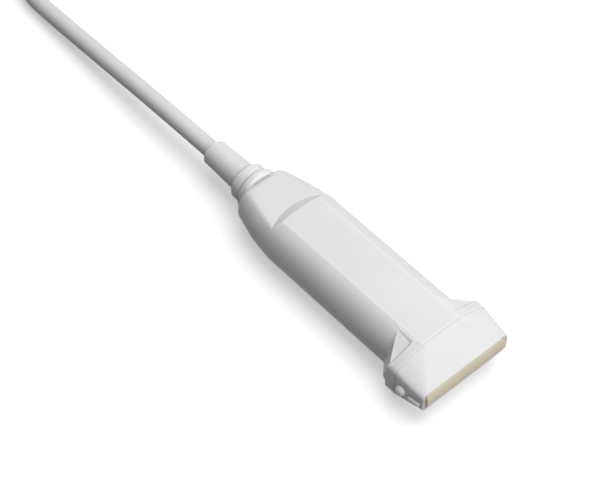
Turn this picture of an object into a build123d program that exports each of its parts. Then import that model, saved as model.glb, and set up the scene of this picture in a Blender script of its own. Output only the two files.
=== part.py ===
from build123d import *
from math import radians, tan
import os

os.makedirs("parts", exist_ok=True)

# Frame: +Y runs from the lens to the cable, +Z is up. The origin lies under the middle of the grip,
# on the flat underside that the probe rests on.

# Grip, a straight bar with rounded sides and a flat top between two creases
grip_length = 61.6
grip_width = 39.2
crease_width = 20.4
crease_height = 12.9
crown = 0.3
crease_round = 0.8
wall = 2.0
tongue_width = 0.8
tongue_height = 1.0

# Head: nosepiece, collar and the wings that flare from the grip to the collar
nose_length = 14.4
nose_taper = 1.6
collar_length = 5.0
wing_length = 19.0
head_width = 50.8
head_flat_width = 18.8
head_side_height = 14.4
head_corner_round = 3.5
shoulder_bow = 0.8
front_height = 9.8
front_shoulder = (2.0, 1.5)
front_bow = 0.2
front_corner_round = 0.6
seam_gap = 0.4
seam_depth = 0.25
spigot_length = 3.0
fit = 0.1

# Pocket in each shoulder behind the collar: its inner and rear corners lie out and down from the crease,
# its outer corner in from the head's side and above the axis. Below it the wing slopes in to the grip.
pocket_inner = (2.7, 1.7)
pocket_tip = (1.7, 0.7)
pocket_outer = (1.9, 7.4)
pocket_length = 8.3
pocket_draft = 1.0
flare_margin = 2.3
flare_length = 3.6

# Rear cap, with a curved step down from the grip's top
cap_length = 26.2
cap_height = 10.2
cap_rear_width = 28.0
cap_rear_flat = 17.0
cap_rear_height = 10.2
cap_rear_depth = 9.6
cap_round = 3.5
cap_ease = 1.5
cap_middle = cap_length * 0.46
cap_edge_round = 4.0
cap_edge_start = 0.5
step_back = 3.3
step_low_bow = 8.9
step_high_bow = 3.3

# Bend relief: sleeve with two rings, and the neck that the case grips
relief_length = 32.5
sleeve_base_radius = 6.9
sleeve_end_radius = 6.15
ring_small_radius = 9.2
ring_large_radius = 10.6
ring_large_length = 4.1
ring_small_length = 4.9
ring_gap = 1.0
ring_chamfer = 0.9
ring_groove = 1.6
neck_radius = 6.9
neck_flange_radius = 8.1
neck_flange = 2.4
rear_wall = 4.0

# Cable and its put-away hank, which lies past the relief
cable_diameter = 8.4
cable_start = 28.0
hank_x = -10.1
hank_back = 219.5
lead_length = 23.0
hank_run = 160.0
hank_fold = 25.2
hank_layers = 3
hank_chamfer = 1.5
tie_thickness = 1.0
tie_round = 1.5
tie_width = 9.0
tie_back = 91.0
tail_start = 7.0

# Acoustic stack behind the lens
lens_margin = 1.8
lens_height = 8.8
lens_seat = 1.8
lens_bulge = 1.0
lens_corner = 1.4
stack_margin = 2.8
stack_height = 5.2
outer_match = 0.4
inner_match = 0.5
piezo_depth = 0.8
piezo_pitch = 0.6
piezo_kerf = 0.1
backing_depth = 10.5
carrier_wall = 1.6
carrier_shell = 1.2
carrier_depth = 12.6
carrier_corner = 1.0
flex_thickness = 0.3
flex_margin = 2.2
flex_lead = 3.0
flex_room = 2.0

# Electronics in the grip
board_length = 57.0
board_width = 28.0
board_thickness = 1.6
board_front = 28.2
board_corner = 1.5
post_radius = 2.6
post_inset = 4.0
post_back = 10.0
screw_radius = 0.9
screw_head_radius = 1.8
screw_head_height = 1.3
screw_length = 6.0
connector_block = (12.0, 5.0, 2.4)
connector_spacing = 15.0
connector_back = 1.0
shield_size = (22.0, 30.0, 5.0)
shield_wall = 0.4

# Cable anchor
ferrule_radius = 5.6
ferrule_lead = 2.0
ferrule_socket = 6.0
fan_width = 20.0
fan_height = 3.2
fan_end = 5.0
clamp_length = 8.0
clamp_gap = 3.0
clamp_width = 24.0
clamp_thickness = 2.0
clamp_screw_spacing = 20.0

# Side marker on the nosepiece
pip_radius = 2.4
pip_height = 2.0
pip_back = 11.2
pip_seat = 1.0
pip_round = 1.8
pip_drop = 0.5
groove_width = 1.9
groove_rise = 0.15
groove_front = 1.0
groove_length = 6.6
groove_cut = 1.4

# Plug at the far end
plug_width = 48.0
plug_length = 46.0
plug_height = 17.0
plug_back = 127.0
plug_wall = 2.0
plug_round = 2.5
shroud_size = (40.0, 12.0)
shroud_reach = 10.0
shroud_depth = 6.0
shroud_wall = 1.2
pin_columns = 13
pin_rows = 4
pin_pitch = 2.54
pin_side = 0.9
pin_reach = 6.0
plug_relief_length = 22.0
plug_relief_radius = 6.2
plug_relief_neck = 5.4

# Stations along the axis
axis_z = crease_height
grip_front_y = -grip_length / 2
grip_rear_y = grip_length / 2
collar_rear_y = grip_front_y - wing_length
seam_y = collar_rear_y - collar_length
nose_rear_y = seam_y - seam_gap
front_y = nose_rear_y - nose_length
case_rear_y = grip_rear_y + cap_length
relief_end_y = case_rear_y + relief_length
roof_height = crease_height + crown
cable_radius = cable_diameter / 2
stack_y = front_y + lens_seat
board_y = front_y + board_front
backing_y = stack_y + outer_match + inner_match + piezo_depth
relief_front_y = case_rear_y - rear_wall - fit - neck_flange
clamp_y = relief_front_y - clamp_gap - clamp_length
ferrule_y = clamp_y - ferrule_lead
cable_y = relief_end_y - cable_start
ferrule_rear_y = cable_y + ferrule_socket
step_y = grip_rear_y - step_back
ring_gap_y = case_rear_y + ring_large_length
sleeve_y = ring_gap_y + 2 * ring_gap + ring_small_length
hank_y = relief_end_y + hank_back
lead_y = hank_y - lead_length
tie_y = hank_y + tie_back
plug_y = hank_y + plug_back
plug_end_y = plug_y + plug_length

# Sizes and places that follow from these
quarters = [(side, level) for side in (1, -1) for level in (1, -1)]
tongue_x = (grip_width - wall) / 2
head_front_width = head_width - 2 * nose_taper
lens_width = head_front_width - 2 * lens_margin
stack_width = lens_width - 2 * stack_margin
flex_width = stack_width - 2 * flex_margin
carrier_width = stack_width + 2 * fit + 2 * carrier_wall
carrier_bore = stack_height + 2 * flex_thickness + 2 * fit
carrier_height = carrier_bore + 2 * carrier_shell
flex_z = (stack_height + flex_thickness) / 2
flex_tail_width = connector_spacing + connector_block[0]
connector_y = board_y + connector_back
connector_z = (board_thickness + connector_block[2]) / 2
board_bottom_z = axis_z - board_thickness / 2
post_x = board_width / 2 - post_inset
post_rows = (board_y + post_back, board_y + board_length - post_inset)
post_points = [(side * post_x, y) for side in (1, -1) for y in post_rows]
clamp_screw_points = [(side * clamp_screw_spacing / 2, clamp_y + clamp_length / 2) for side in (1, -1)]
cable_lift = tie_thickness + cable_radius
hank_top_z = tie_thickness + hank_layers * cable_diameter
tie_room = cable_diameter + 2 * fit
plug_axis_z = hank_top_z + plug_height / 2


def across(y):
    """Plane across the axis at y, with its own x to the right and y up from the axis."""
    return Plane(origin=(0, y, axis_z), x_dir=(1, 0, 0), z_dir=(0, -1, 0))


def grip_section(y, inset=0.0):
    """Section of the grip, moved in from the outer face by inset."""
    half_flat = crease_width / 2
    with BuildSketch(across(y)) as section:
        with BuildLine():
            ThreePointArc((half_flat, crease_height), (grip_width / 2, 0), (half_flat, -crease_height))
            Line((half_flat, -crease_height), (-half_flat, -crease_height))
            ThreePointArc((-half_flat, -crease_height), (-grip_width / 2, 0), (-half_flat, crease_height))
            ThreePointArc((-half_flat, crease_height), (0, roof_height), (half_flat, crease_height))
        make_face()
        fillet(section.vertices(), radius=crease_round)
        if inset:
            offset(amount=-inset, kind=Kind.INTERSECTION)
    return section.sketch


def shouldered_section(y, half, top, flat, side, bow, corner, inset=0.0):
    """Section with a flat top and bottom, bowed shoulders and upright sides, moved in by inset."""
    with BuildSketch(across(y)) as section:
        with BuildLine():
            out = Vector(half - flat, side - top).rotate(Axis.Z, 90).normalized() * bow
            middle_x, middle_z = (flat + half) / 2 + out.X, (top + side) / 2 + out.Y
            for hand, level in quarters:
                ThreePointArc(
                    (hand * flat, level * top), (hand * middle_x, level * middle_z),
                    (hand * half, level * side),
                )
            for sign in (1, -1):
                Line((-flat, sign * top), (flat, sign * top))
                Line((sign * half, -side), (sign * half, side))
        make_face()
        columns = section.vertices().group_by(Axis.X)
        fillet(columns[0] + columns[-1], radius=corner)
        if inset:
            offset(amount=-inset, kind=Kind.INTERSECTION)
    return section.sketch


def head_section(y, inset=0.0):
    """Section of the head, moved in from the outer face by inset."""
    return shouldered_section(
        y, head_width / 2, crease_height, head_flat_width / 2, head_side_height / 2, shoulder_bow,
        head_corner_round, inset,
    )


def front_section(y):
    """Section of the nosepiece round the lens."""
    half, top = head_front_width / 2, front_height / 2
    return shouldered_section(
        y, half, top, half - front_shoulder[0], top - front_shoulder[1], front_bow, front_corner_round,
    )


def cap_section(y, inset=0.0):
    """Section of the rear cap at y: flat top and bottom joined by arcs, moved in by inset."""
    share = (y - grip_rear_y) / cap_length
    half_flat = step_half_flat + (cap_rear_flat / 2 - step_half_flat) * share
    height = cap_height + (cap_rear_height - cap_height) * share
    half_width = grip_width / 2 + (cap_rear_width - grip_width) / 2 * share**cap_ease
    depth = crease_height + (cap_rear_depth - crease_height) * share**cap_ease
    half_base = crease_width / 2 + (cap_rear_flat - crease_width) / 2 * share
    with BuildSketch(across(y)) as section:
        with BuildLine():
            ThreePointArc((half_flat, height), (half_width, 0), (half_base, -depth))
            Line((half_base, -depth), (-half_base, -depth))
            ThreePointArc((-half_base, -depth), (-half_width, 0), (-half_flat, height))
            Line((-half_flat, height), (half_flat, height))
        make_face()
        fillet(section.vertices().group_by(Axis.Y)[-1], radius=cap_edge_round * (cap_edge_start + share))
        if inset:
            offset(amount=-inset, kind=Kind.INTERSECTION)
    return section.sketch


def disc(y, radius):
    """Round face across the axis at y."""
    with BuildSketch(across(y)) as face:
        Circle(radius)
    return face.sketch


def nose_half(back):
    """Half-width of the nosepiece at a distance back from its front."""
    return (head_front_width + (head_width - head_front_width) * back / nose_length) / 2


def bend_radii(points):
    """Largest arc that each corner's two runs leave room for, printed in cable diameters."""
    radii = []
    for before, corner, after in zip(points, points[1:], points[2:]):
        shorter = min((corner - before).length, (after - corner).length)
        half_turn = radians((corner - before).get_angle(after - corner) / 2)
        radii.append(0.45 * shorter / tan(half_turn))
    print("bend radii in cable diameters:", [round(r / cable_diameter, 1) for r in radii])
    return radii


def beyond(points, side, level):
    """Plane through three (x, y, z-from-axis) points of the right upper quarter, set into another quarter."""
    a, b, c = (Vector(side * x, y, axis_z + level * z) for x, y, z in points)
    normal = (b - a).cross(c - a)
    if normal.X * side < 0:
        normal = -normal
    return Plane(origin=a, z_dir=normal)


# Outer form of the case
grip_arc_x = (grip_width**2 / 4 - crease_width**2 / 4 - crease_height**2) / (grip_width - crease_width)
grip_arc_radius = grip_width / 2 - grip_arc_x
step_half_flat = grip_arc_x + (grip_arc_radius**2 - cap_height**2) ** 0.5
crease_x = crease_width / 2
head_x = head_width / 2
inner_corner = (crease_x + pocket_inner[0], collar_rear_y, crease_height - pocket_inner[1])
outer_corner = (head_x - pocket_outer[0], collar_rear_y, pocket_outer[1])
rear_corner = (crease_x + pocket_tip[0], collar_rear_y + pocket_length, crease_height - pocket_tip[1])
front_wall_top = (inner_corner[0], inner_corner[1] - pocket_draft, inner_corner[2] + 1)
side_wall_top = (inner_corner[0] - pocket_draft, inner_corner[1], inner_corner[2] + 1)
flare_point = (head_x - flare_margin, collar_rear_y + flare_length, 0)

with BuildPart() as wings:
    extrude(head_section(collar_rear_y), amount=-wing_length)
    for side, level in quarters:
        with Locations(beyond((outer_corner, rear_corner, flare_point), side, level)):
            Box(2 * head_width, 2 * head_width, head_width, align=(Align.CENTER, Align.CENTER, Align.MIN),
                mode=Mode.SUBTRACT)

pockets = []
for side, level in quarters:
    with BuildPart() as pocket:
        with Locations(beyond((inner_corner, outer_corner, rear_corner), side, level)):
            Box(2 * head_width, 2 * head_width, head_width, align=(Align.CENTER, Align.CENTER, Align.MIN))
        split(bisect_by=beyond((inner_corner, side_wall_top, rear_corner), side, level), keep=Keep.TOP)
        split(bisect_by=beyond((inner_corner, front_wall_top, outer_corner), side, level), keep=Keep.TOP)
    pockets.append(pocket.part)

with BuildPart() as step_cut:
    for height, bow in ((cap_height, step_low_bow), (roof_height + fit, step_high_bow)):
        with BuildSketch(Plane.XY.offset(axis_z + height)):
            with BuildLine():
                ThreePointArc((-grip_width / 2, step_y), (0, step_y + bow), (grip_width / 2, step_y))
                Polyline(
                    (grip_width / 2, step_y), (grip_width / 2, case_rear_y),
                    (-grip_width / 2, case_rear_y), (-grip_width / 2, step_y),
                )
            make_face()
    loft(ruled=True)

with BuildPart() as plateau_end:
    extrude(grip_section(grip_rear_y), amount=-step_low_bow)
    split(bisect_by=Plane.XY.offset(axis_z + cap_height), keep=Keep.TOP)

with BuildPart() as case_form:
    extrude(grip_section(seam_y), amount=-(grip_rear_y - seam_y))
    add(plateau_end.part)
    add(step_cut.part, mode=Mode.SUBTRACT)
    extrude(head_section(seam_y), amount=-collar_length)
    add(wings.part)
    add(pockets, mode=Mode.SUBTRACT)
    loft([cap_section(y) for y in (grip_rear_y, grip_rear_y + cap_middle, case_rear_y)], ruled=True)
    fillet(case_form.faces().sort_by(Axis.Y)[-1].edges(), radius=cap_round)

# Hollow of the case, with the bore for the bend relief's neck
with BuildPart() as case_cavity:
    extrude(head_section(seam_y, wall), amount=-collar_length)
    extrude(grip_section(seam_y, wall), amount=-(grip_rear_y - seam_y))
    loft([cap_section(grip_rear_y, wall), cap_section(case_rear_y - rear_wall, wall)], ruled=True)
    extrude(disc(case_rear_y - rear_wall, neck_radius + fit), amount=-2 * rear_wall)

with BuildPart() as upper_case:
    add(case_form.part)
    add(case_cavity.part, mode=Mode.SUBTRACT)
    split(bisect_by=Plane.XY.offset(axis_z), keep=Keep.TOP)
    with Locations(*[(side * tongue_x, 0, axis_z) for side in (1, -1)]):
        Box(tongue_width + 2 * fit, grip_length + 2 * fit, 2 * (tongue_height + fit), mode=Mode.SUBTRACT)
upper_case.part.label = "upper_case"
export_step(upper_case.part, "parts/upper_case.step")

with BuildPart() as cradle:
    with Locations((0, clamp_y + clamp_length / 2, axis_z)):
        Box(clamp_width, clamp_length, axis_z, align=(Align.CENTER, Align.CENTER, Align.MAX))
    add(case_form.part, mode=Mode.INTERSECT)

with BuildPart() as lower_case:
    add(case_form.part)
    add(case_cavity.part, mode=Mode.SUBTRACT)
    split(bisect_by=Plane.XY.offset(axis_z), keep=Keep.BOTTOM)
    with Locations(*[(side * tongue_x, 0, axis_z) for side in (1, -1)]):
        Box(tongue_width, grip_length, 2 * tongue_height)
    with Locations(*[(x, y, wall) for x, y in post_points]):
        Cylinder(post_radius, board_bottom_z - wall, align=(Align.CENTER, Align.CENTER, Align.MIN))
    add(cradle.part)
    extrude(disc(clamp_y, ferrule_radius + fit), amount=-clamp_length, mode=Mode.SUBTRACT)
    with Locations(*[(x, y, board_bottom_z) for x, y in post_points]):
        Hole(screw_radius + fit, screw_length)
    with Locations(*[(x, y, axis_z) for x, y in clamp_screw_points]):
        Hole(screw_radius + fit, screw_length)
lower_case.part.label = "lower_case"
export_step(lower_case.part, "parts/lower_case.step")

# Nosepiece: the head's form, narrowing in flat slopes and hipped shoulders to the lens
side_out = Vector(-nose_length, -nose_taper, 0)
side_along = Vector(-nose_taper, nose_length, 0)
pip_plane = Plane(
    origin=(-nose_half(pip_back), front_y + pip_back, axis_z - pip_drop), x_dir=(0, 0, 1), z_dir=side_out,
)
groove_plane = Plane(
    origin=(-nose_half(groove_front), front_y + groove_front, axis_z + groove_rise), x_dir=side_out,
    z_dir=side_along,
)
with BuildPart() as nosepiece:
    loft([front_section(front_y), head_section(nose_rear_y)], ruled=True)
    extrude(head_section(nose_rear_y, wall + fit), amount=-(seam_gap + spigot_length))
    with BuildSketch(across(front_y)):
        RectangleRounded(lens_width, lens_height, lens_corner)
    extrude(amount=-lens_seat, mode=Mode.SUBTRACT)
    with BuildSketch(across(stack_y)):
        RectangleRounded(carrier_width + 2 * fit, carrier_height + 2 * fit, carrier_corner + fit)
    extrude(amount=-(carrier_depth + fit), mode=Mode.SUBTRACT)
    with BuildSketch(across(stack_y)):
        Rectangle(flex_width + flex_room, carrier_bore)
    extrude(amount=-head_width, mode=Mode.SUBTRACT)
    with BuildSketch(groove_plane):
        with BuildLine():
            Polyline((-groove_cut, 0), (groove_cut, 0), (groove_cut, -2 * groove_width), close=True)
        make_face()
    extrude(amount=groove_length, mode=Mode.SUBTRACT)
    with BuildSketch(pip_plane):
        Circle(pip_radius + fit)
    extrude(amount=-pip_seat, mode=Mode.SUBTRACT)
nosepiece.part.label = "nosepiece"
export_step(nosepiece.part, "parts/nosepiece.step")

with BuildPart() as marker_pip:
    with BuildSketch(pip_plane.offset(-pip_seat)):
        Circle(pip_radius)
    extrude(amount=pip_seat + pip_height)
    fillet(marker_pip.faces().sort_by(Axis.X)[0].edges(), radius=pip_round)
marker_pip.part.label = "marker_pip"
export_step(marker_pip.part, "parts/marker_pip.step")

with BuildPart() as nose_seal:
    extrude(head_section(nose_rear_y, seam_depth), amount=-seam_gap)
    extrude(head_section(nose_rear_y, wall), amount=-seam_gap, mode=Mode.SUBTRACT)
nose_seal.part.label = "nose_seal"
export_step(nose_seal.part, "parts/nose_seal.step")

# Lens: a silicone pad, curved from edge to edge
with BuildPart() as acoustic_lens:
    with BuildSketch(across(front_y - lens_bulge)):
        RectangleRounded(lens_width - 2 * fit, lens_height - 2 * fit, lens_corner - fit)
    extrude(amount=-(lens_bulge + lens_seat))
    with BuildSketch(Plane.YZ.offset(-lens_width / 2)):
        low, high = axis_z - lens_height / 2, axis_z + lens_height / 2
        with BuildLine():
            ThreePointArc((front_y, low), (front_y - lens_bulge, axis_z), (front_y, high))
            Polyline((front_y, high), (stack_y, high), (stack_y, low), (front_y, low))
        make_face()
    extrude(amount=lens_width, mode=Mode.INTERSECT)
acoustic_lens.part.label = "acoustic_lens"
export_step(acoustic_lens.part, "parts/acoustic_lens.step")

# Acoustic stack: two matching layers, the diced ceramic and its backing
with BuildPart() as outer_matching_layer:
    with Locations((0, stack_y, axis_z)):
        Box(stack_width, outer_match, stack_height, align=(Align.CENTER, Align.MIN, Align.CENTER))
outer_matching_layer.part.label = "outer_matching_layer"
export_step(outer_matching_layer.part, "parts/outer_matching_layer.step")

with BuildPart() as inner_matching_layer:
    with Locations((0, stack_y + outer_match, axis_z)):
        Box(stack_width, inner_match, stack_height, align=(Align.CENTER, Align.MIN, Align.CENTER))
inner_matching_layer.part.label = "inner_matching_layer"
export_step(inner_matching_layer.part, "parts/inner_matching_layer.step")

piezo_count = int((stack_width + fit) / piezo_pitch)
with BuildPart() as piezo_array:
    with Locations((0, backing_y - piezo_depth, axis_z)):
        with GridLocations(piezo_pitch, stack_height, piezo_count, 1):
            Box(piezo_pitch - piezo_kerf, piezo_depth, stack_height,
                align=(Align.CENTER, Align.MIN, Align.CENTER))
piezo_array.part.label = "piezo_array"
export_step(piezo_array.part, "parts/piezo_array.step")

with BuildPart() as backing_block:
    with Locations((0, backing_y, axis_z)):
        Box(stack_width, backing_depth, stack_height, align=(Align.CENTER, Align.MIN, Align.CENTER))
backing_block.part.label = "backing_block"
export_step(backing_block.part, "parts/backing_block.step")

with BuildPart() as array_carrier:
    with BuildSketch(across(stack_y)):
        RectangleRounded(carrier_width, carrier_height, carrier_corner)
        Rectangle(stack_width + 2 * fit, carrier_bore, mode=Mode.SUBTRACT)
    extrude(amount=-carrier_depth)
array_carrier.part.label = "array_carrier"
export_step(array_carrier.part, "parts/array_carrier.step")

# Flex circuits fold back along the backing and run to the board's connectors
with BuildPart() as upper_flex_circuit:
    with BuildSketch(Plane.YZ.offset(-flex_tail_width / 2)):
        with BuildLine():
            Polyline(
                (backing_y, axis_z + flex_z), (backing_y + carrier_depth, axis_z + flex_z),
                (board_y - flex_lead, axis_z + connector_z), (connector_y, axis_z + connector_z),
            )
        trace(line_width=flex_thickness)
    extrude(amount=flex_tail_width)
    with Locations((0, backing_y, axis_z + flex_z)):
        Box(flex_width, carrier_depth, flex_thickness, align=(Align.CENTER, Align.MIN, Align.CENTER))
upper_flex_circuit.part.label = "upper_flex_circuit"
export_step(upper_flex_circuit.part, "parts/upper_flex_circuit.step")

with BuildPart() as lower_flex_circuit:
    mirror(upper_flex_circuit.part, about=Plane.XY.offset(axis_z))
lower_flex_circuit.part.label = "lower_flex_circuit"
export_step(lower_flex_circuit.part, "parts/lower_flex_circuit.step")

# Board with its connectors, shield and screws
with BuildPart() as interface_board:
    with BuildSketch(Plane.XY.offset(board_bottom_z)):
        with Locations((0, board_y + board_length / 2)):
            RectangleRounded(board_width, board_length, board_corner)
        with Locations(*post_points):
            Circle(screw_radius + fit, mode=Mode.SUBTRACT)
    extrude(amount=board_thickness)
interface_board.part.label = "interface_board"
export_step(interface_board.part, "parts/interface_board.step")

with BuildPart() as board_connectors:
    with Locations(*[(0, connector_y, axis_z + level * connector_z) for level in (1, -1)]):
        with GridLocations(connector_spacing, connector_spacing, 2, 1):
            Box(*connector_block, align=(Align.CENTER, Align.MIN, Align.CENTER))
board_connectors.part.label = "board_connectors"
export_step(board_connectors.part, "parts/board_connectors.step")

with BuildPart() as shield_can:
    with Locations((0, board_y + board_length / 2, board_bottom_z + board_thickness)):
        Box(*shield_size, align=(Align.CENTER, Align.CENTER, Align.MIN))
        Box(shield_size[0] - 2 * shield_wall, shield_size[1] - 2 * shield_wall, shield_size[2] - shield_wall,
            align=(Align.CENTER, Align.CENTER, Align.MIN), mode=Mode.SUBTRACT)
shield_can.part.label = "shield_can"
export_step(shield_can.part, "parts/shield_can.step")

with BuildPart() as board_screws:
    with Locations(*[(x, y, board_bottom_z + board_thickness) for x, y in post_points]):
        Cylinder(screw_head_radius, screw_head_height, align=(Align.CENTER, Align.CENTER, Align.MIN))
        Cylinder(screw_radius, screw_length, align=(Align.CENTER, Align.CENTER, Align.MAX))
board_screws.part.label = "board_screws"
export_step(board_screws.part, "parts/board_screws.step")

# Leads from the board to the cable, and the cable's anchor
with BuildPart() as coax_fan:
    with BuildSketch(across(board_y + board_length)):
        Rectangle(fan_width, fan_height)
    with BuildSketch(across(ferrule_y)):
        Rectangle(fan_end, fan_end)
    loft(ruled=True)
coax_fan.part.label = "coax_fan"
export_step(coax_fan.part, "parts/coax_fan.step")

with BuildPart() as cable_ferrule:
    extrude(disc(ferrule_y, ferrule_radius), amount=-(ferrule_rear_y - ferrule_y))
    extrude(disc(cable_y, cable_radius + fit), amount=-ferrule_socket, mode=Mode.SUBTRACT)
cable_ferrule.part.label = "cable_ferrule"
export_step(cable_ferrule.part, "parts/cable_ferrule.step")

with BuildPart() as cable_clamp:
    with BuildSketch(across(clamp_y)):
        Rectangle(clamp_width, clamp_thickness, align=(Align.CENTER, Align.MIN))
        Circle(ferrule_radius + clamp_thickness)
        Rectangle(clamp_width, clamp_width, align=(Align.CENTER, Align.MAX), mode=Mode.SUBTRACT)
        Circle(ferrule_radius + fit, mode=Mode.SUBTRACT)
    extrude(amount=-clamp_length)
    with Locations(*[(x, y, axis_z + clamp_thickness) for x, y in clamp_screw_points]):
        Hole(screw_radius + fit, clamp_thickness)
cable_clamp.part.label = "cable_clamp"
export_step(cable_clamp.part, "parts/cable_clamp.step")

with BuildPart() as clamp_screws:
    with Locations(*[(x, y, axis_z + clamp_thickness) for x, y in clamp_screw_points]):
        Cylinder(screw_head_radius, screw_head_height, align=(Align.CENTER, Align.CENTER, Align.MIN))
        Cylinder(screw_radius, screw_length, align=(Align.CENTER, Align.CENTER, Align.MAX))
clamp_screws.part.label = "clamp_screws"
export_step(clamp_screws.part, "parts/clamp_screws.step")

# Bend relief, turned about the axis: flange and neck in the case, two rings, and the tapered sleeve
with BuildPart() as bend_relief:
    with BuildSketch(Plane.YZ) as relief_profile:
        with BuildLine():
            Polyline(
                (relief_front_y, axis_z + ferrule_radius + fit),
                (relief_front_y, axis_z + neck_flange_radius),
                (relief_front_y + neck_flange, axis_z + neck_flange_radius),
                (relief_front_y + neck_flange, axis_z + neck_radius),
                (case_rear_y + fit, axis_z + neck_radius),
                (case_rear_y + fit, axis_z + ring_large_radius),
                (ring_gap_y, axis_z + ring_large_radius),
                (ring_gap_y, axis_z + ring_small_radius - ring_groove),
                (ring_gap_y + ring_gap, axis_z + ring_small_radius - ring_groove),
                (ring_gap_y + ring_gap, axis_z + ring_small_radius),
                (sleeve_y - ring_gap, axis_z + ring_small_radius),
                (sleeve_y, axis_z + sleeve_base_radius),
                (relief_end_y, axis_z + sleeve_end_radius),
                (relief_end_y, axis_z + cable_radius + fit),
                (ferrule_rear_y + fit, axis_z + cable_radius + fit),
                (ferrule_rear_y + fit, axis_z + ferrule_radius + fit),
                close=True,
            )
        make_face()
        ring_corners = relief_profile.vertices().filter_by(
            lambda v: v.X > case_rear_y and v.Y > axis_z + ring_small_radius - fit
        )
        chamfer(ring_corners, length=ring_chamfer)
        chamfer(relief_profile.vertices().group_by(Axis.X)[-1].sort_by(Axis.Y)[-1], length=ring_chamfer)
    revolve(axis=Axis((0, 0, axis_z), (0, 1, 0)))
bend_relief.part.label = "bend_relief"
export_step(bend_relief.part, "parts/bend_relief.step")

# Cable: out of the relief, down to the floor and over to the hank
cable_points = [
    Vector(0, cable_y, axis_z),
    Vector(0, cable_y + 53, axis_z),
    Vector(0.8, cable_y + 108, axis_z - 3.7),
    Vector(2.2, lead_y - 60, cable_radius + 0.5),
    Vector(hank_x + hank_fold, lead_y - 24, cable_lift),
    Vector(hank_x + hank_fold, lead_y, cable_lift),
]
with BuildPart() as cable:
    with BuildLine():
        FilletPolyline(*cable_points, radius=bend_radii(cable_points))
    with BuildSketch(Plane(origin=cable_points[0], z_dir=cable_points[1] - cable_points[0])):
        Circle(cable_radius)
    sweep()
cable.part.label = "cable"
export_step(cable.part, "parts/cable.step")

# Hank: the outer shape of the folded turns, with the ends of the runs that lead in and out
with BuildPart() as cable_hank:
    with BuildSketch(Plane.XY.offset(tie_thickness)):
        with Locations(Location((hank_x, hank_y + hank_run / 2), 90)):
            SlotCenterToCenter(hank_run, 2 * (hank_fold + cable_radius))
            SlotCenterToCenter(hank_run, 2 * (hank_fold - cable_radius), mode=Mode.SUBTRACT)
    extrude(amount=hank_layers * cable_diameter)
    chamfer(cable_hank.faces().filter_by(Axis.Z).edges(), length=hank_chamfer)
    with Locations((hank_x + hank_fold, lead_y, tie_thickness)):
        Box(cable_diameter, hank_y - lead_y, cable_diameter, align=(Align.CENTER, Align.MIN, Align.MIN))
    with Locations((hank_x + hank_fold, hank_y, hank_top_z)):
        Box(cable_diameter, tail_start, cable_diameter, align=(Align.CENTER, Align.MIN, Align.MIN))
cable_hank.part.label = "cable_hank"
export_step(cable_hank.part, "parts/cable_hank.step")

with BuildPart() as hank_ties:
    with Locations(*[(hank_x + side * hank_fold, tie_y, 0) for side in (1, -1)]):
        Box(tie_room + 2 * tie_thickness, tie_width, hank_top_z + tie_thickness + fit,
            align=(Align.CENTER, Align.CENTER, Align.MIN))
    fillet(hank_ties.edges().filter_by(Axis.Y), radius=tie_round)
    with Locations(*[(hank_x + side * hank_fold, tie_y, tie_thickness - fit) for side in (1, -1)]):
        Box(tie_room, tie_width, hank_top_z - tie_thickness + 2 * fit,
            align=(Align.CENTER, Align.CENTER, Align.MIN), mode=Mode.SUBTRACT)
hank_ties.part.label = "hank_ties"
export_step(hank_ties.part, "parts/hank_ties.step")

tail_points = [
    Vector(hank_x + hank_fold, hank_y + tail_start, hank_top_z + cable_radius + fit),
    Vector(hank_x + hank_fold, hank_y + tail_start + 32, hank_top_z + cable_radius + fit),
    Vector(hank_x, plug_y - plug_relief_length - 32, plug_axis_z),
    Vector(hank_x, plug_y - plug_relief_length, plug_axis_z),
]
with BuildPart() as cable_tail:
    with BuildLine():
        FilletPolyline(*tail_points, radius=bend_radii(tail_points))
    with BuildSketch(Plane(origin=tail_points[0], z_dir=tail_points[1] - tail_points[0])):
        Circle(cable_radius)
    sweep()
cable_tail.part.label = "cable_tail"
export_step(cable_tail.part, "parts/cable_tail.step")

# Plug: two shells, the shroud and its pins, and its own bend relief
with BuildPart() as plug_case:
    with Locations((hank_x, plug_y, plug_axis_z)):
        Box(plug_width, plug_length, plug_height, align=(Align.CENTER, Align.MIN, Align.CENTER))
    fillet(plug_case.edges().filter_by(Axis.Y), radius=plug_round)
    with Locations((hank_x, plug_y + plug_wall, plug_axis_z)):
        Box(plug_width - 2 * plug_wall, plug_length - 2 * plug_wall, plug_height - 2 * plug_wall,
            align=(Align.CENTER, Align.MIN, Align.CENTER), mode=Mode.SUBTRACT)
    with Locations((hank_x, plug_end_y, plug_axis_z)):
        Box(shroud_size[0] + 2 * fit, 2 * plug_wall, shroud_size[1] + 2 * fit, mode=Mode.SUBTRACT)
    with BuildSketch(Plane(origin=(hank_x, plug_y, plug_axis_z), x_dir=(1, 0, 0), z_dir=(0, -1, 0))):
        Circle(plug_relief_neck + fit)
    extrude(amount=-plug_wall, mode=Mode.SUBTRACT)

with BuildPart() as plug_upper_shell:
    add(plug_case.part)
    split(bisect_by=Plane.XY.offset(plug_axis_z), keep=Keep.TOP)
plug_upper_shell.part.label = "plug_upper_shell"
export_step(plug_upper_shell.part, "parts/plug_upper_shell.step")

with BuildPart() as plug_lower_shell:
    add(plug_case.part)
    split(bisect_by=Plane.XY.offset(plug_axis_z), keep=Keep.BOTTOM)
plug_lower_shell.part.label = "plug_lower_shell"
export_step(plug_lower_shell.part, "parts/plug_lower_shell.step")

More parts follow.
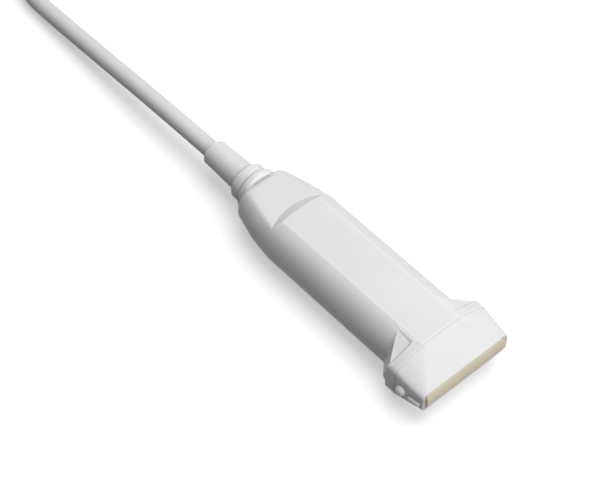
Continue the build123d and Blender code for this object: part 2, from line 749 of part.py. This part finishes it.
with BuildPart() as plug_shroud:
    with Locations((hank_x, plug_end_y, plug_axis_z)):
        Box(shroud_size[0], 2 * shroud_reach, shroud_size[1])
    fillet(plug_shroud.edges().filter_by(Axis.Y), radius=shroud_wall)
    with Locations((hank_x, plug_end_y, plug_axis_z)):
        Box(shroud_size[0] - 2 * shroud_wall, 2 * shroud_reach, shroud_size[1] - 2 * shroud_wall,
            mode=Mode.SUBTRACT)
plug_shroud.part.label = "plug_shroud"
export_step(plug_shroud.part, "parts/plug_shroud.step")

with BuildPart() as plug_pin_block:
    with Locations((hank_x, plug_end_y - shroud_reach, plug_axis_z)):
        Box(shroud_size[0] - 2 * shroud_wall - 2 * fit, shroud_depth,
            shroud_size[1] - 2 * shroud_wall - 2 * fit,
            align=(Align.CENTER, Align.MIN, Align.CENTER))
plug_pin_block.part.label = "plug_pin_block"
export_step(plug_pin_block.part, "parts/plug_pin_block.step")

with BuildPart() as plug_pins:
    with Locations(Plane(origin=(hank_x, plug_end_y - shroud_reach + shroud_depth, plug_axis_z),
                         x_dir=(1, 0, 0), z_dir=(0, 1, 0))):
        with GridLocations(pin_pitch, pin_pitch, pin_columns, pin_rows):
            Box(pin_side, pin_side, pin_reach, align=(Align.CENTER, Align.CENTER, Align.MIN))
plug_pins.part.label = "plug_pins"
export_step(plug_pins.part, "parts/plug_pins.step")

with BuildPart() as plug_bend_relief:
    with BuildSketch(Plane(origin=(hank_x, 0, plug_axis_z), x_dir=(0, 1, 0), z_dir=(1, 0, 0))):
        with BuildLine():
            Polyline(
                (plug_y - plug_relief_length, 0), (plug_y - plug_relief_length, cable_radius + shroud_wall),
                (plug_y - fit, plug_relief_radius), (plug_y - fit, plug_relief_neck),
                (plug_y + plug_wall + fit, plug_relief_neck), (plug_y + plug_wall + fit, plug_relief_radius),
                (plug_y + 2 * plug_wall, plug_relief_radius), (plug_y + 2 * plug_wall, 0), close=True,
            )
        make_face()
    revolve(axis=Axis((hank_x, 0, plug_axis_z), (0, 1, 0)))
plug_bend_relief.part.label = "plug_bend_relief"
export_step(plug_bend_relief.part, "parts/plug_bend_relief.step")
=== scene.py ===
from math import cos, pi, radians, sin, tan

import bmesh
import bpy
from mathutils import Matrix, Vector


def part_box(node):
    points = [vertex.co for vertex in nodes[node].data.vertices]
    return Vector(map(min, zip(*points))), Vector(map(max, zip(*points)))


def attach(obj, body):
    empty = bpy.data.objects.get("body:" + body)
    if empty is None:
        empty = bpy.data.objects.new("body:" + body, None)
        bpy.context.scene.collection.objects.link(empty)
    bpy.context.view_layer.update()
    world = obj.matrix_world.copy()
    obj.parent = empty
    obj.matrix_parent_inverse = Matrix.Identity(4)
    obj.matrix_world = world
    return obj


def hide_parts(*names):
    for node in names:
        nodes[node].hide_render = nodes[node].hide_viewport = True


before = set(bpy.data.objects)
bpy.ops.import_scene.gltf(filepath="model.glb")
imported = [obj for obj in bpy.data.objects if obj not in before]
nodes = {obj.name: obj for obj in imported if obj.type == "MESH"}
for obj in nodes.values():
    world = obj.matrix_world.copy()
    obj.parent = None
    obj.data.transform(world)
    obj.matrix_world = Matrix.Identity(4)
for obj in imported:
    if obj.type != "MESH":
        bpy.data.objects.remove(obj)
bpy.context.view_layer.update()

# Case halves
# Two hollow shells moulded in white ABS, closed along the middle of the grip with a tongue and groove.
# The tool's fine spark finish leaves them satin rather than glossy, and their edges carry a painted
# highlight.
case_white = (0.84, 0.84, 0.84)
case_roughness = 0.42
case_edge = 0.0007


def face_smoother():
    """Node group that joins a solid's triangles and shades them smooth, with its steeper edges kept sharp."""
    join_reach = 0.000002
    crease_angle = radians(14)
    group = bpy.data.node_groups.new("smooth_faces", "GeometryNodeTree")
    group.interface.new_socket("Geometry", in_out="INPUT", socket_type="NodeSocketGeometry")
    group.interface.new_socket("Geometry", in_out="OUTPUT", socket_type="NodeSocketGeometry")
    start = group.nodes.new("NodeGroupInput")
    merge = group.nodes.new("GeometryNodeMergeByDistance")
    merge.inputs["Distance"].default_value = join_reach
    soften = group.nodes.new("GeometryNodeSetShadeSmooth")
    soften.domain = "FACE"
    angle = group.nodes.new("GeometryNodeInputMeshEdgeAngle")
    steep = group.nodes.new("FunctionNodeCompare")
    steep.operation = "GREATER_THAN"
    steep.inputs["B"].default_value = crease_angle
    crease = group.nodes.new("GeometryNodeSetShadeSmooth")
    crease.domain = "EDGE"
    crease.inputs["Shade Smooth"].default_value = False
    end = group.nodes.new("NodeGroupOutput")
    group.links.new(start.outputs["Geometry"], merge.inputs["Geometry"])
    group.links.new(merge.outputs["Geometry"], soften.inputs["Geometry"])
    group.links.new(soften.outputs["Geometry"], crease.inputs["Geometry"])
    group.links.new(angle.outputs["Unsigned Angle"], steep.inputs["A"])
    group.links.new(steep.outputs["Result"], crease.inputs["Selection"])
    group.links.new(crease.outputs["Geometry"], end.inputs["Geometry"])
    return group


def paint_edge_highlight(tree, colour, edge):
    """Rounds a finish's edges to a radius and paints a highlight along them, but not in hollows."""
    highlight_width = 2 * edge
    flat_turn, highlight_turn = 0.9997, 0.998
    hollow_light, open_light = 0.8, 0.98
    highlight_colour = [1.08 * c for c in colour] + [1]
    base = tree.nodes["Principled BSDF"].inputs["Base Color"]
    rounding = tree.nodes.new("ShaderNodeBevel")
    rounding.samples = 8
    rounding.inputs["Radius"].default_value = edge
    band = tree.nodes.new("ShaderNodeBevel")
    band.samples = 8
    band.inputs["Radius"].default_value = highlight_width
    facing = tree.nodes.new("ShaderNodeNewGeometry")
    turn = tree.nodes.new("ShaderNodeVectorMath")
    turn.operation = "DOT_PRODUCT"
    highlighted = tree.nodes.new("ShaderNodeMapRange")
    highlighted.inputs["From Min"].default_value = flat_turn
    highlighted.inputs["From Max"].default_value = highlight_turn
    hollow = tree.nodes.new("ShaderNodeAmbientOcclusion")
    hollow.samples = 8
    hollow.inputs["Distance"].default_value = highlight_width
    raised = tree.nodes.new("ShaderNodeMapRange")
    raised.inputs["From Min"].default_value = hollow_light
    raised.inputs["From Max"].default_value = open_light
    amount = tree.nodes.new("ShaderNodeMath")
    amount.operation = "MULTIPLY"
    # Mixes a paler colour along the convex edges as a painted highlight.
    edge_highlight = tree.nodes.new("ShaderNodeMix")
    edge_highlight.data_type = "RGBA"
    edge_highlight.inputs["B"].default_value = highlight_colour
    tree.links.new(rounding.outputs["Normal"], tree.nodes["Bump"].inputs["Normal"])
    tree.links.new(band.outputs["Normal"], turn.inputs[0])
    tree.links.new(facing.outputs["Normal"], turn.inputs[1])
    tree.links.new(turn.outputs["Value"], highlighted.inputs["Value"])
    tree.links.new(hollow.outputs["AO"], raised.inputs["Value"])
    tree.links.new(highlighted.outputs["Result"], amount.inputs[0])
    tree.links.new(raised.outputs["Result"], amount.inputs[1])
    tree.links.new(amount.outputs["Value"], edge_highlight.inputs["Factor"])
    tree.links.new(base.links[0].from_socket, edge_highlight.inputs["A"])
    tree.links.new(edge_highlight.outputs["Result"], base)


def moulded(name, colour, roughness, grain=2200, texture=0.00001, metal=0.0, edge=0.0):
    """A moulded or cast finish: colour that drifts a little, patchy sheen, fine texture and painted edge
    highlights.
    """
    drift_scale = 60
    drift_colour = [0.96 * c for c in colour] + [1]
    sheen_spread = 0.05
    material = bpy.data.materials.new(name)
    material.use_nodes = True
    tree = material.node_tree
    shader = tree.nodes["Principled BSDF"]
    shader.inputs["Metallic"].default_value = metal
    shader.inputs["Specular IOR Level"].default_value = 0.35
    place = tree.nodes.new("ShaderNodeTexCoord")
    drift = tree.nodes.new("ShaderNodeTexNoise")
    drift.inputs["Scale"].default_value = drift_scale
    drift.inputs["Detail"].default_value = 3
    shade = tree.nodes.new("ShaderNodeValToRGB")
    shade.color_ramp.elements[0].position = 0.3
    shade.color_ramp.elements[0].color = drift_colour
    shade.color_ramp.elements[1].position = 0.7
    shade.color_ramp.elements[1].color = [*colour, 1]
    fine = tree.nodes.new("ShaderNodeTexNoise")
    fine.inputs["Scale"].default_value = grain
    fine.inputs["Detail"].default_value = 2
    sheen = tree.nodes.new("ShaderNodeMapRange")
    sheen.inputs["To Min"].default_value = roughness - sheen_spread
    sheen.inputs["To Max"].default_value = roughness + sheen_spread
    bump = tree.nodes.new("ShaderNodeBump")
    bump.inputs["Strength"].default_value = 0.35
    bump.inputs["Distance"].default_value = texture
    tree.links.new(place.outputs["Object"], drift.inputs["Vector"])
    tree.links.new(place.outputs["Object"], fine.inputs["Vector"])
    tree.links.new(drift.outputs["Fac"], shade.inputs["Fac"])
    tree.links.new(shade.outputs["Color"], shader.inputs["Base Color"])
    tree.links.new(drift.outputs["Fac"], sheen.inputs["Value"])
    tree.links.new(sheen.outputs["Result"], shader.inputs["Roughness"])
    tree.links.new(fine.outputs["Fac"], bump.inputs["Height"])
    tree.links.new(bump.outputs["Normal"], shader.inputs["Normal"])
    # Where an edge radius is given, the edges also get a painted highlight in a paler colour.
    if edge:
        paint_edge_highlight(tree, colour, edge)
    return material


smooth_faces = face_smoother()


def finish_node(name, material):
    """Gives a solid its material and smooth shading."""
    nodes[name].data.materials.clear()
    nodes[name].data.materials.append(material)
    nodes[name].modifiers.new("smooth_faces", "NODES").node_group = smooth_faces


white_case = moulded("white_case", case_white, case_roughness, edge=case_edge)
for name in ("upper_case", "lower_case"):
    finish_node(name, white_case)

# Nosepiece
# One moulding in the same white plastic that carries the lens and plugs into the front of the case.
# Its corners from shoulder to side are rounder than its other edges, as far back as the seam.
corner_radius = 0.003
corner_starts_x, corner_full_x = 0.0195, 0.0225
seam_side_y, corner_full_y = -0.0555, -0.0585
white_nose = moulded("white_nose", case_white, case_roughness)
tree = white_nose.node_tree
spot = tree.nodes.new("ShaderNodeSeparateXYZ")
outward = tree.nodes.new("ShaderNodeMath")
outward.operation = "ABSOLUTE"
sideways = tree.nodes.new("ShaderNodeMapRange")
sideways.inputs["From Min"].default_value = corner_starts_x
sideways.inputs["From Max"].default_value = corner_full_x
ahead = tree.nodes.new("ShaderNodeMapRange")
ahead.inputs["From Min"].default_value = seam_side_y
ahead.inputs["From Max"].default_value = corner_full_y
at_corner = tree.nodes.new("ShaderNodeMath")
at_corner.operation = "MULTIPLY"
corner = tree.nodes.new("ShaderNodeBevel")
corner.samples = 12
corner.inputs["Radius"].default_value = corner_radius
plain = tree.nodes.new("ShaderNodeNewGeometry")
rounded = tree.nodes.new("ShaderNodeMix")
rounded.data_type = "VECTOR"
tree.links.new(tree.nodes["Texture Coordinate"].outputs["Object"], spot.inputs["Vector"])
tree.links.new(spot.outputs["X"], outward.inputs[0])
tree.links.new(outward.outputs["Value"], sideways.inputs["Value"])
tree.links.new(spot.outputs["Y"], ahead.inputs["Value"])
tree.links.new(sideways.outputs["Result"], at_corner.inputs[0])
tree.links.new(ahead.outputs["Result"], at_corner.inputs[1])
tree.links.new(at_corner.outputs["Value"], rounded.inputs["Factor"])
tree.links.new(plain.outputs["Normal"], rounded.inputs["A"])
tree.links.new(corner.outputs["Normal"], rounded.inputs["B"])
tree.links.new(rounded.outputs["Result"], tree.nodes["Bump"].inputs["Normal"])
finish_node("nosepiece", white_nose)

# Side marker
# A pip and a bead in glossier white plastic on the nosepiece's left side, which the hand can find; their
# paler white is painted light.
# The pip is pressed into a blind hole, and the bead is bonded along the lower edge of a groove.
# Their white is paler than the case's white: painted light on the pip and the bead.
painted_lit_marker_white = moulded("painted_lit_marker_white", (0.93, 0.93, 0.93), 0.3)
finish_node("marker_pip", painted_lit_marker_white)
bead_radius = 0.0009
bead_length = 0.0062
bead_round = 0.9 * bead_radius
bead_middle = (-0.02447, -0.0653, 0.0116)
nose_taper, nose_length = 0.0016, 0.0144
bead = bmesh.new()
bmesh.ops.create_cone(
    bead, cap_ends=True, segments=24, radius1=bead_radius, radius2=bead_radius, depth=bead_length,
)
rims = [edge for edge in bead.edges if edge.verts[0].co.z * edge.verts[1].co.z > 0]
bmesh.ops.bevel(
    bead, geom=rims, offset=bead_round, segments=5, profile=0.5, affect="EDGES", material=-1,
)
side_along = Vector((-nose_taper, nose_length, 0))
lay_along = Vector((0, 0, 1)).rotation_difference(side_along).to_matrix()
bmesh.ops.rotate(bead, verts=bead.verts, cent=(0, 0, 0), matrix=lay_along)
bmesh.ops.translate(bead, verts=bead.verts, vec=bead_middle)
bead_mesh = bpy.data.meshes.new("marker_bead")
bead.to_mesh(bead_mesh)
bead.free()
marker_bead = bpy.data.objects.new("marker_bead", bead_mesh)
bpy.context.scene.collection.objects.link(marker_bead)
bead_mesh.materials.append(painted_lit_marker_white)
marker_bead.modifiers.new("smooth_faces", "NODES").node_group = smooth_faces
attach(marker_bead, "root")

# Nose seal
# A thin band of pale silicone that fills the joint between nosepiece and case.
# It is cast in place and wiped level, so it shows only as a fine line round the head.
finish_node("nose_seal", moulded("pale_seal", (0.86, 0.86, 0.86), 0.6))

# Lens
# A pad of tan silicone that touches the skin, cast over the array with a slight crown.
# It is bonded into the nosepiece's mouth.
finish_node("acoustic_lens", moulded("tan_lens", (0.87, 0.765, 0.585), 0.45, grain=1500, edge=0.0006))

# Acoustic stack
# Two matching layers of filled resin, bars of diced ceramic and a block of loaded resin,
# bonded in a pile and held in a black moulded carrier.
resin = moulded("matching_resin", (0.2, 0.18, 0.12), 0.5)
for name in ("outer_matching_layer", "inner_matching_layer"):
    finish_node(name, resin)
finish_node("piezo_array", moulded("fired_ceramic", (0.6, 0.5, 0.25), 0.55))
finish_node("backing_block", moulded("loaded_resin", (0.02, 0.02, 0.022), 0.6, grain=900))
black_moulding = moulded("black_moulding", (0.015, 0.015, 0.017), 0.45)
finish_node("array_carrier", black_moulding)

# Circuits
# Two amber film circuits fold back along the stack to black connectors on a green board, which is
# screwed to posts in the case. A pressed steel can screens the board's middle.
amber_film = moulded("amber_film", (0.45, 0.16, 0.015), 0.3)
for name in ("upper_flex_circuit", "lower_flex_circuit"):
    finish_node(name, amber_film)
finish_node("board_connectors", black_moulding)
finish_node("interface_board", moulded("solder_mask", (0.01, 0.1, 0.03), 0.35, grain=700))
steel = moulded("plain_steel", (0.5, 0.5, 0.52), 0.32, metal=1.0)
for name in ("shield_can", "board_screws"):
    finish_node(name, steel)

# Cable anchor
# The leads fan in from the board to a turned brass ferrule at the cable's end.
# A bent steel saddle and two screws clamp the ferrule to the case.
finish_node("coax_fan", moulded("lead_bundle", (0.12, 0.13, 0.2), 0.5, grain=500, texture=0.0001))
brass = moulded("turned_brass", (0.6, 0.4, 0.13), 0.3, metal=1.0)
finish_node("cable_ferrule", brass)
for name in ("cable_clamp", "clamp_screws"):
    finish_node(name, steel)

# Bend relief
# A sleeve of soft white elastomer with two stiff rings, which keeps the cable from kinking.
# It is moulded over the ferrule and held in the case's rear wall.
white_elastomer = moulded("white_elastomer", (0.88, 0.88, 0.88), 0.5, grain=1600, edge=0.0006)
finish_node("bend_relief", white_elastomer)

# Cable
# A round jacket of pale grey elastomer over the bundled leads, which drops from the relief to the floor.
# The length that isn't in use is folded into a hank of three turns, and its last run rises to the plug.
cable_diameter = 0.0084
fold_radius = 0.0252
near_fold_y, far_fold_y = 0.309, 0.469
first_layer_z = 0.0052
hank_turns = 3
run_points = 5
fold_points = 5
relief_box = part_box("bend_relief")
hank_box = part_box("cable_hank")
plug_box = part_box("plug_bend_relief")
axis_z = (relief_box[0].z + relief_box[1].z) / 2
plug_z = (plug_box[0].z + plug_box[1].z) / 2
top_z = first_layer_z + hank_turns * cable_diameter + 0.0001
fold_x = (hank_box[0].x + hank_box[1].x) / 2
route = [
    (0, 0.0615, axis_z),
    (0, 0.1145, axis_z),
    (0.0008, 0.1695, axis_z - 0.0037),
    (0.0017, 0.207, 0.0062),
    (0.0024, 0.236, 0.0047),
    (fold_x + fold_radius, 0.262, first_layer_z),
    (fold_x + fold_radius, 0.286, first_layer_z),
]
half_step = pi / fold_points / 2
fold_corner = fold_radius / cos(half_step)
fold_lead = fold_radius * tan(half_step)
run_length = far_fold_y - near_fold_y - 2 * fold_lead
for layer in range(hank_turns):
    layer_z = first_layer_z + layer * cable_diameter
    for side, start_y, fold_y, climb in (
        (1, near_fold_y, far_fold_y, 0),
        (-1, far_fold_y, near_fold_y, cable_diameter),
    ):
        for k in range(run_points):
            along = fold_lead + run_length * k / (run_points - 1)
            route.append((fold_x + side * fold_radius, start_y + side * along, layer_z))
        for k in range(fold_points):
            share = (k + 0.5) / fold_points
            route.append((
                fold_x + side * fold_corner * cos(pi * share),
                fold_y + side * fold_corner * sin(pi * share),
                layer_z + climb * share,
            ))
route += [
    (fold_x + fold_radius, 0.316, top_z),
    (fold_x + fold_radius, 0.348, top_z),
    (fold_x, 0.382, plug_z),
    (fold_x, plug_box[0].y, plug_z),
]
line = bpy.data.curves.new("cable_line", "CURVE")
line.dimensions = "3D"
line.bevel_depth = cable_diameter / 2
line.bevel_resolution = 8
line.use_fill_caps = True
spline = line.splines.new("NURBS")
spline.points.add(len(route) - 1)
for point, place in zip(spline.points, route):
    point.co = (*place, 1)
spline.order_u = 3
spline.use_endpoint_u = True
spline.resolution_u = 8
line.materials.append(moulded("grey_jacket", (0.85, 0.85, 0.85), 0.5, grain=1800))
cable_cord = bpy.data.objects.new("cable_cord", line)
bpy.context.scene.collection.objects.link(cable_cord)
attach(cable_cord, "root")
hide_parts("cable", "cable_hank", "cable_tail")

# Straps
# Two straps of dark woven tape that close round the hank's runs and hold them in a bundle.
# The threads cross at a slant, so the weave catches the light in small rows; their colour adds painted light
# on the thread tops and painted shade between them.
strap_pitch = 0.0009
wave_period = 2 * pi / 20
thread_height = 0.0003
painted_shade_thread, painted_lit_thread = (0.05, 0.052, 0.055, 1), (0.2, 0.205, 0.21, 1)
strap = moulded("grey_strap", (0.16, 0.165, 0.17), 0.8)
tree = strap.node_tree
threads = tree.nodes.new("ShaderNodeMath")
threads.operation = "MULTIPLY"
for k, direction in enumerate(("Y", "DIAGONAL")):
    rows = tree.nodes.new("ShaderNodeTexWave")
    rows.bands_direction = direction
    rows.inputs["Scale"].default_value = wave_period / strap_pitch
    rows.inputs["Distortion"].default_value = 0.4
    tree.links.new(tree.nodes["Texture Coordinate"].outputs["Object"], rows.inputs["Vector"])
    tree.links.new(rows.outputs["Fac"], threads.inputs[k])
# Painted shade and painted light across the threads, following the same rows as the bump.
weave = tree.nodes.new("ShaderNodeValToRGB")
weave.color_ramp.elements[0].color = painted_shade_thread
weave.color_ramp.elements[1].color = painted_lit_thread
tree.links.new(threads.outputs["Value"], weave.inputs["Fac"])
tree.links.new(weave.outputs["Color"], tree.nodes["Principled BSDF"].inputs["Base Color"])
tree.nodes["Bump"].inputs["Distance"].default_value = thread_height
tree.links.new(threads.outputs["Value"], tree.nodes["Bump"].inputs["Height"])
finish_node("hank_ties", strap)

# Plug
# Two white moulded shells close round a steel shroud and a black block of brass pins.
# A short sleeve like the probe's own leads the cable in.
for name in ("plug_upper_shell", "plug_lower_shell"):
    finish_node(name, white_case)
finish_node("plug_shroud", steel)
finish_node("plug_pin_block", black_moulding)
finish_node("plug_pins", brass)
finish_node("plug_bend_relief", white_elastomer)

# Floor
# A flat sheet of white card under the probe. It shows white with a soft shadow,
# and throws little light back, so that the probe's lower side stays in shade.
floor_half_width = 6
card_thrown, card_seen = 0.12, 0.78
card_glow = 0.46


def seen_rays(tree):
    """1 for the rays that show a surface: straight from the camera, in a reflection or through glass."""
    path = tree.nodes.new("ShaderNodeLightPath")
    mirrored = tree.nodes.new("ShaderNodeMath")
    mirrored.operation = "MAXIMUM"
    passed = tree.nodes.new("ShaderNodeMath")
    passed.operation = "MAXIMUM"
    tree.links.new(path.outputs["Is Camera Ray"], mirrored.inputs[0])
    tree.links.new(path.outputs["Is Glossy Ray"], mirrored.inputs[1])
    tree.links.new(mirrored.outputs["Value"], passed.inputs[0])
    tree.links.new(path.outputs["Is Transmission Ray"], passed.inputs[1])
    return passed.outputs["Value"]


sheet = bmesh.new()
bmesh.ops.create_grid(sheet, x_segments=1, y_segments=1, size=floor_half_width)
floor_mesh = bpy.data.meshes.new("floor")
sheet.to_mesh(floor_mesh)
sheet.free()
floor = bpy.data.objects.new("floor", floor_mesh)
bpy.context.scene.collection.objects.link(floor)
white_floor = bpy.data.materials.new("white_floor")
white_floor.use_nodes = True
tree = white_floor.node_tree
surface = tree.nodes["Principled BSDF"]
surface.inputs["Roughness"].default_value = 0.9
surface.inputs["Emission Color"].default_value = (1, 1, 1, 1)
seen = seen_rays(tree)
tone = tree.nodes.new("ShaderNodeMapRange")
tone.inputs["To Min"].default_value = card_thrown
tone.inputs["To Max"].default_value = card_seen
glow = tree.nodes.new("ShaderNodeMath")
glow.operation = "MULTIPLY"
glow.inputs[1].default_value = card_glow
tree.links.new(seen, tone.inputs["Value"])
tree.links.new(tone.outputs["Result"], surface.inputs["Base Color"])
tree.links.new(seen, glow.inputs[0])
tree.links.new(glow.outputs["Value"], surface.inputs["Emission Strength"])
floor_mesh.materials.append(white_floor)

# Light and camera
# Two broad soft lamps, one high on the right and one high in front, and a smaller one lower in front.
# The studio behind shows white, but adds almost no light of its own.
studio_thrown, studio_seen = 0.02, 1.0
world = bpy.data.worlds.new("studio")
world.use_nodes = True
bpy.context.scene.world = world
tree = world.node_tree
sky = tree.nodes["Background"]
sky.inputs["Color"].default_value = (1, 1, 1, 1)
level = tree.nodes.new("ShaderNodeMapRange")
level.inputs["To Min"].default_value = studio_thrown
level.inputs["To Max"].default_value = studio_seen
tree.links.new(seen_rays(tree), level.inputs["Value"])
tree.links.new(level.outputs["Result"], sky.inputs["Strength"])
lit_point = Vector((0, 0, 0.01))
for name, size, power, place in (
    ("side_softbox", 1.2, 8.2, (0.34, 0, 0.95)),
    ("top_softbox", 1.2, 2.4, (0, -0.34, 0.95)),
    ("front_lamp", 0.9, 3.4, (0, -0.9, 0.44)),
):
    lamp_data = bpy.data.lights.new(name, "AREA")
    lamp_data.shape = "DISK"
    lamp_data.size = size
    lamp_data.energy = power
    lamp = bpy.data.objects.new(name, lamp_data)
    lamp.location = place
    lamp.rotation_euler = (lit_point - lamp.location).to_track_quat("-Z", "Y").to_euler()
    bpy.context.scene.collection.objects.link(lamp)

aim = Vector((0.00077, 0.03204, 0.0029))
distance = 0.78093
azimuth, elevation = radians(-41.31), radians(50.94)
camera_data = bpy.data.cameras.new("photo_camera")
camera_data.lens = 108
camera_data.sensor_width = 36
camera = bpy.data.objects.new("photo_camera", camera_data)
camera.location = aim + distance * Vector((
    sin(azimuth) * cos(elevation), -cos(azimuth) * cos(elevation), sin(elevation),
))
camera.rotation_euler = (aim - camera.location).to_track_quat("-Z", "Y").to_euler()
bpy.context.scene.collection.objects.link(camera)
bpy.context.scene.camera = camera
bpy.context.scene.view_settings.view_transform = "Standard"
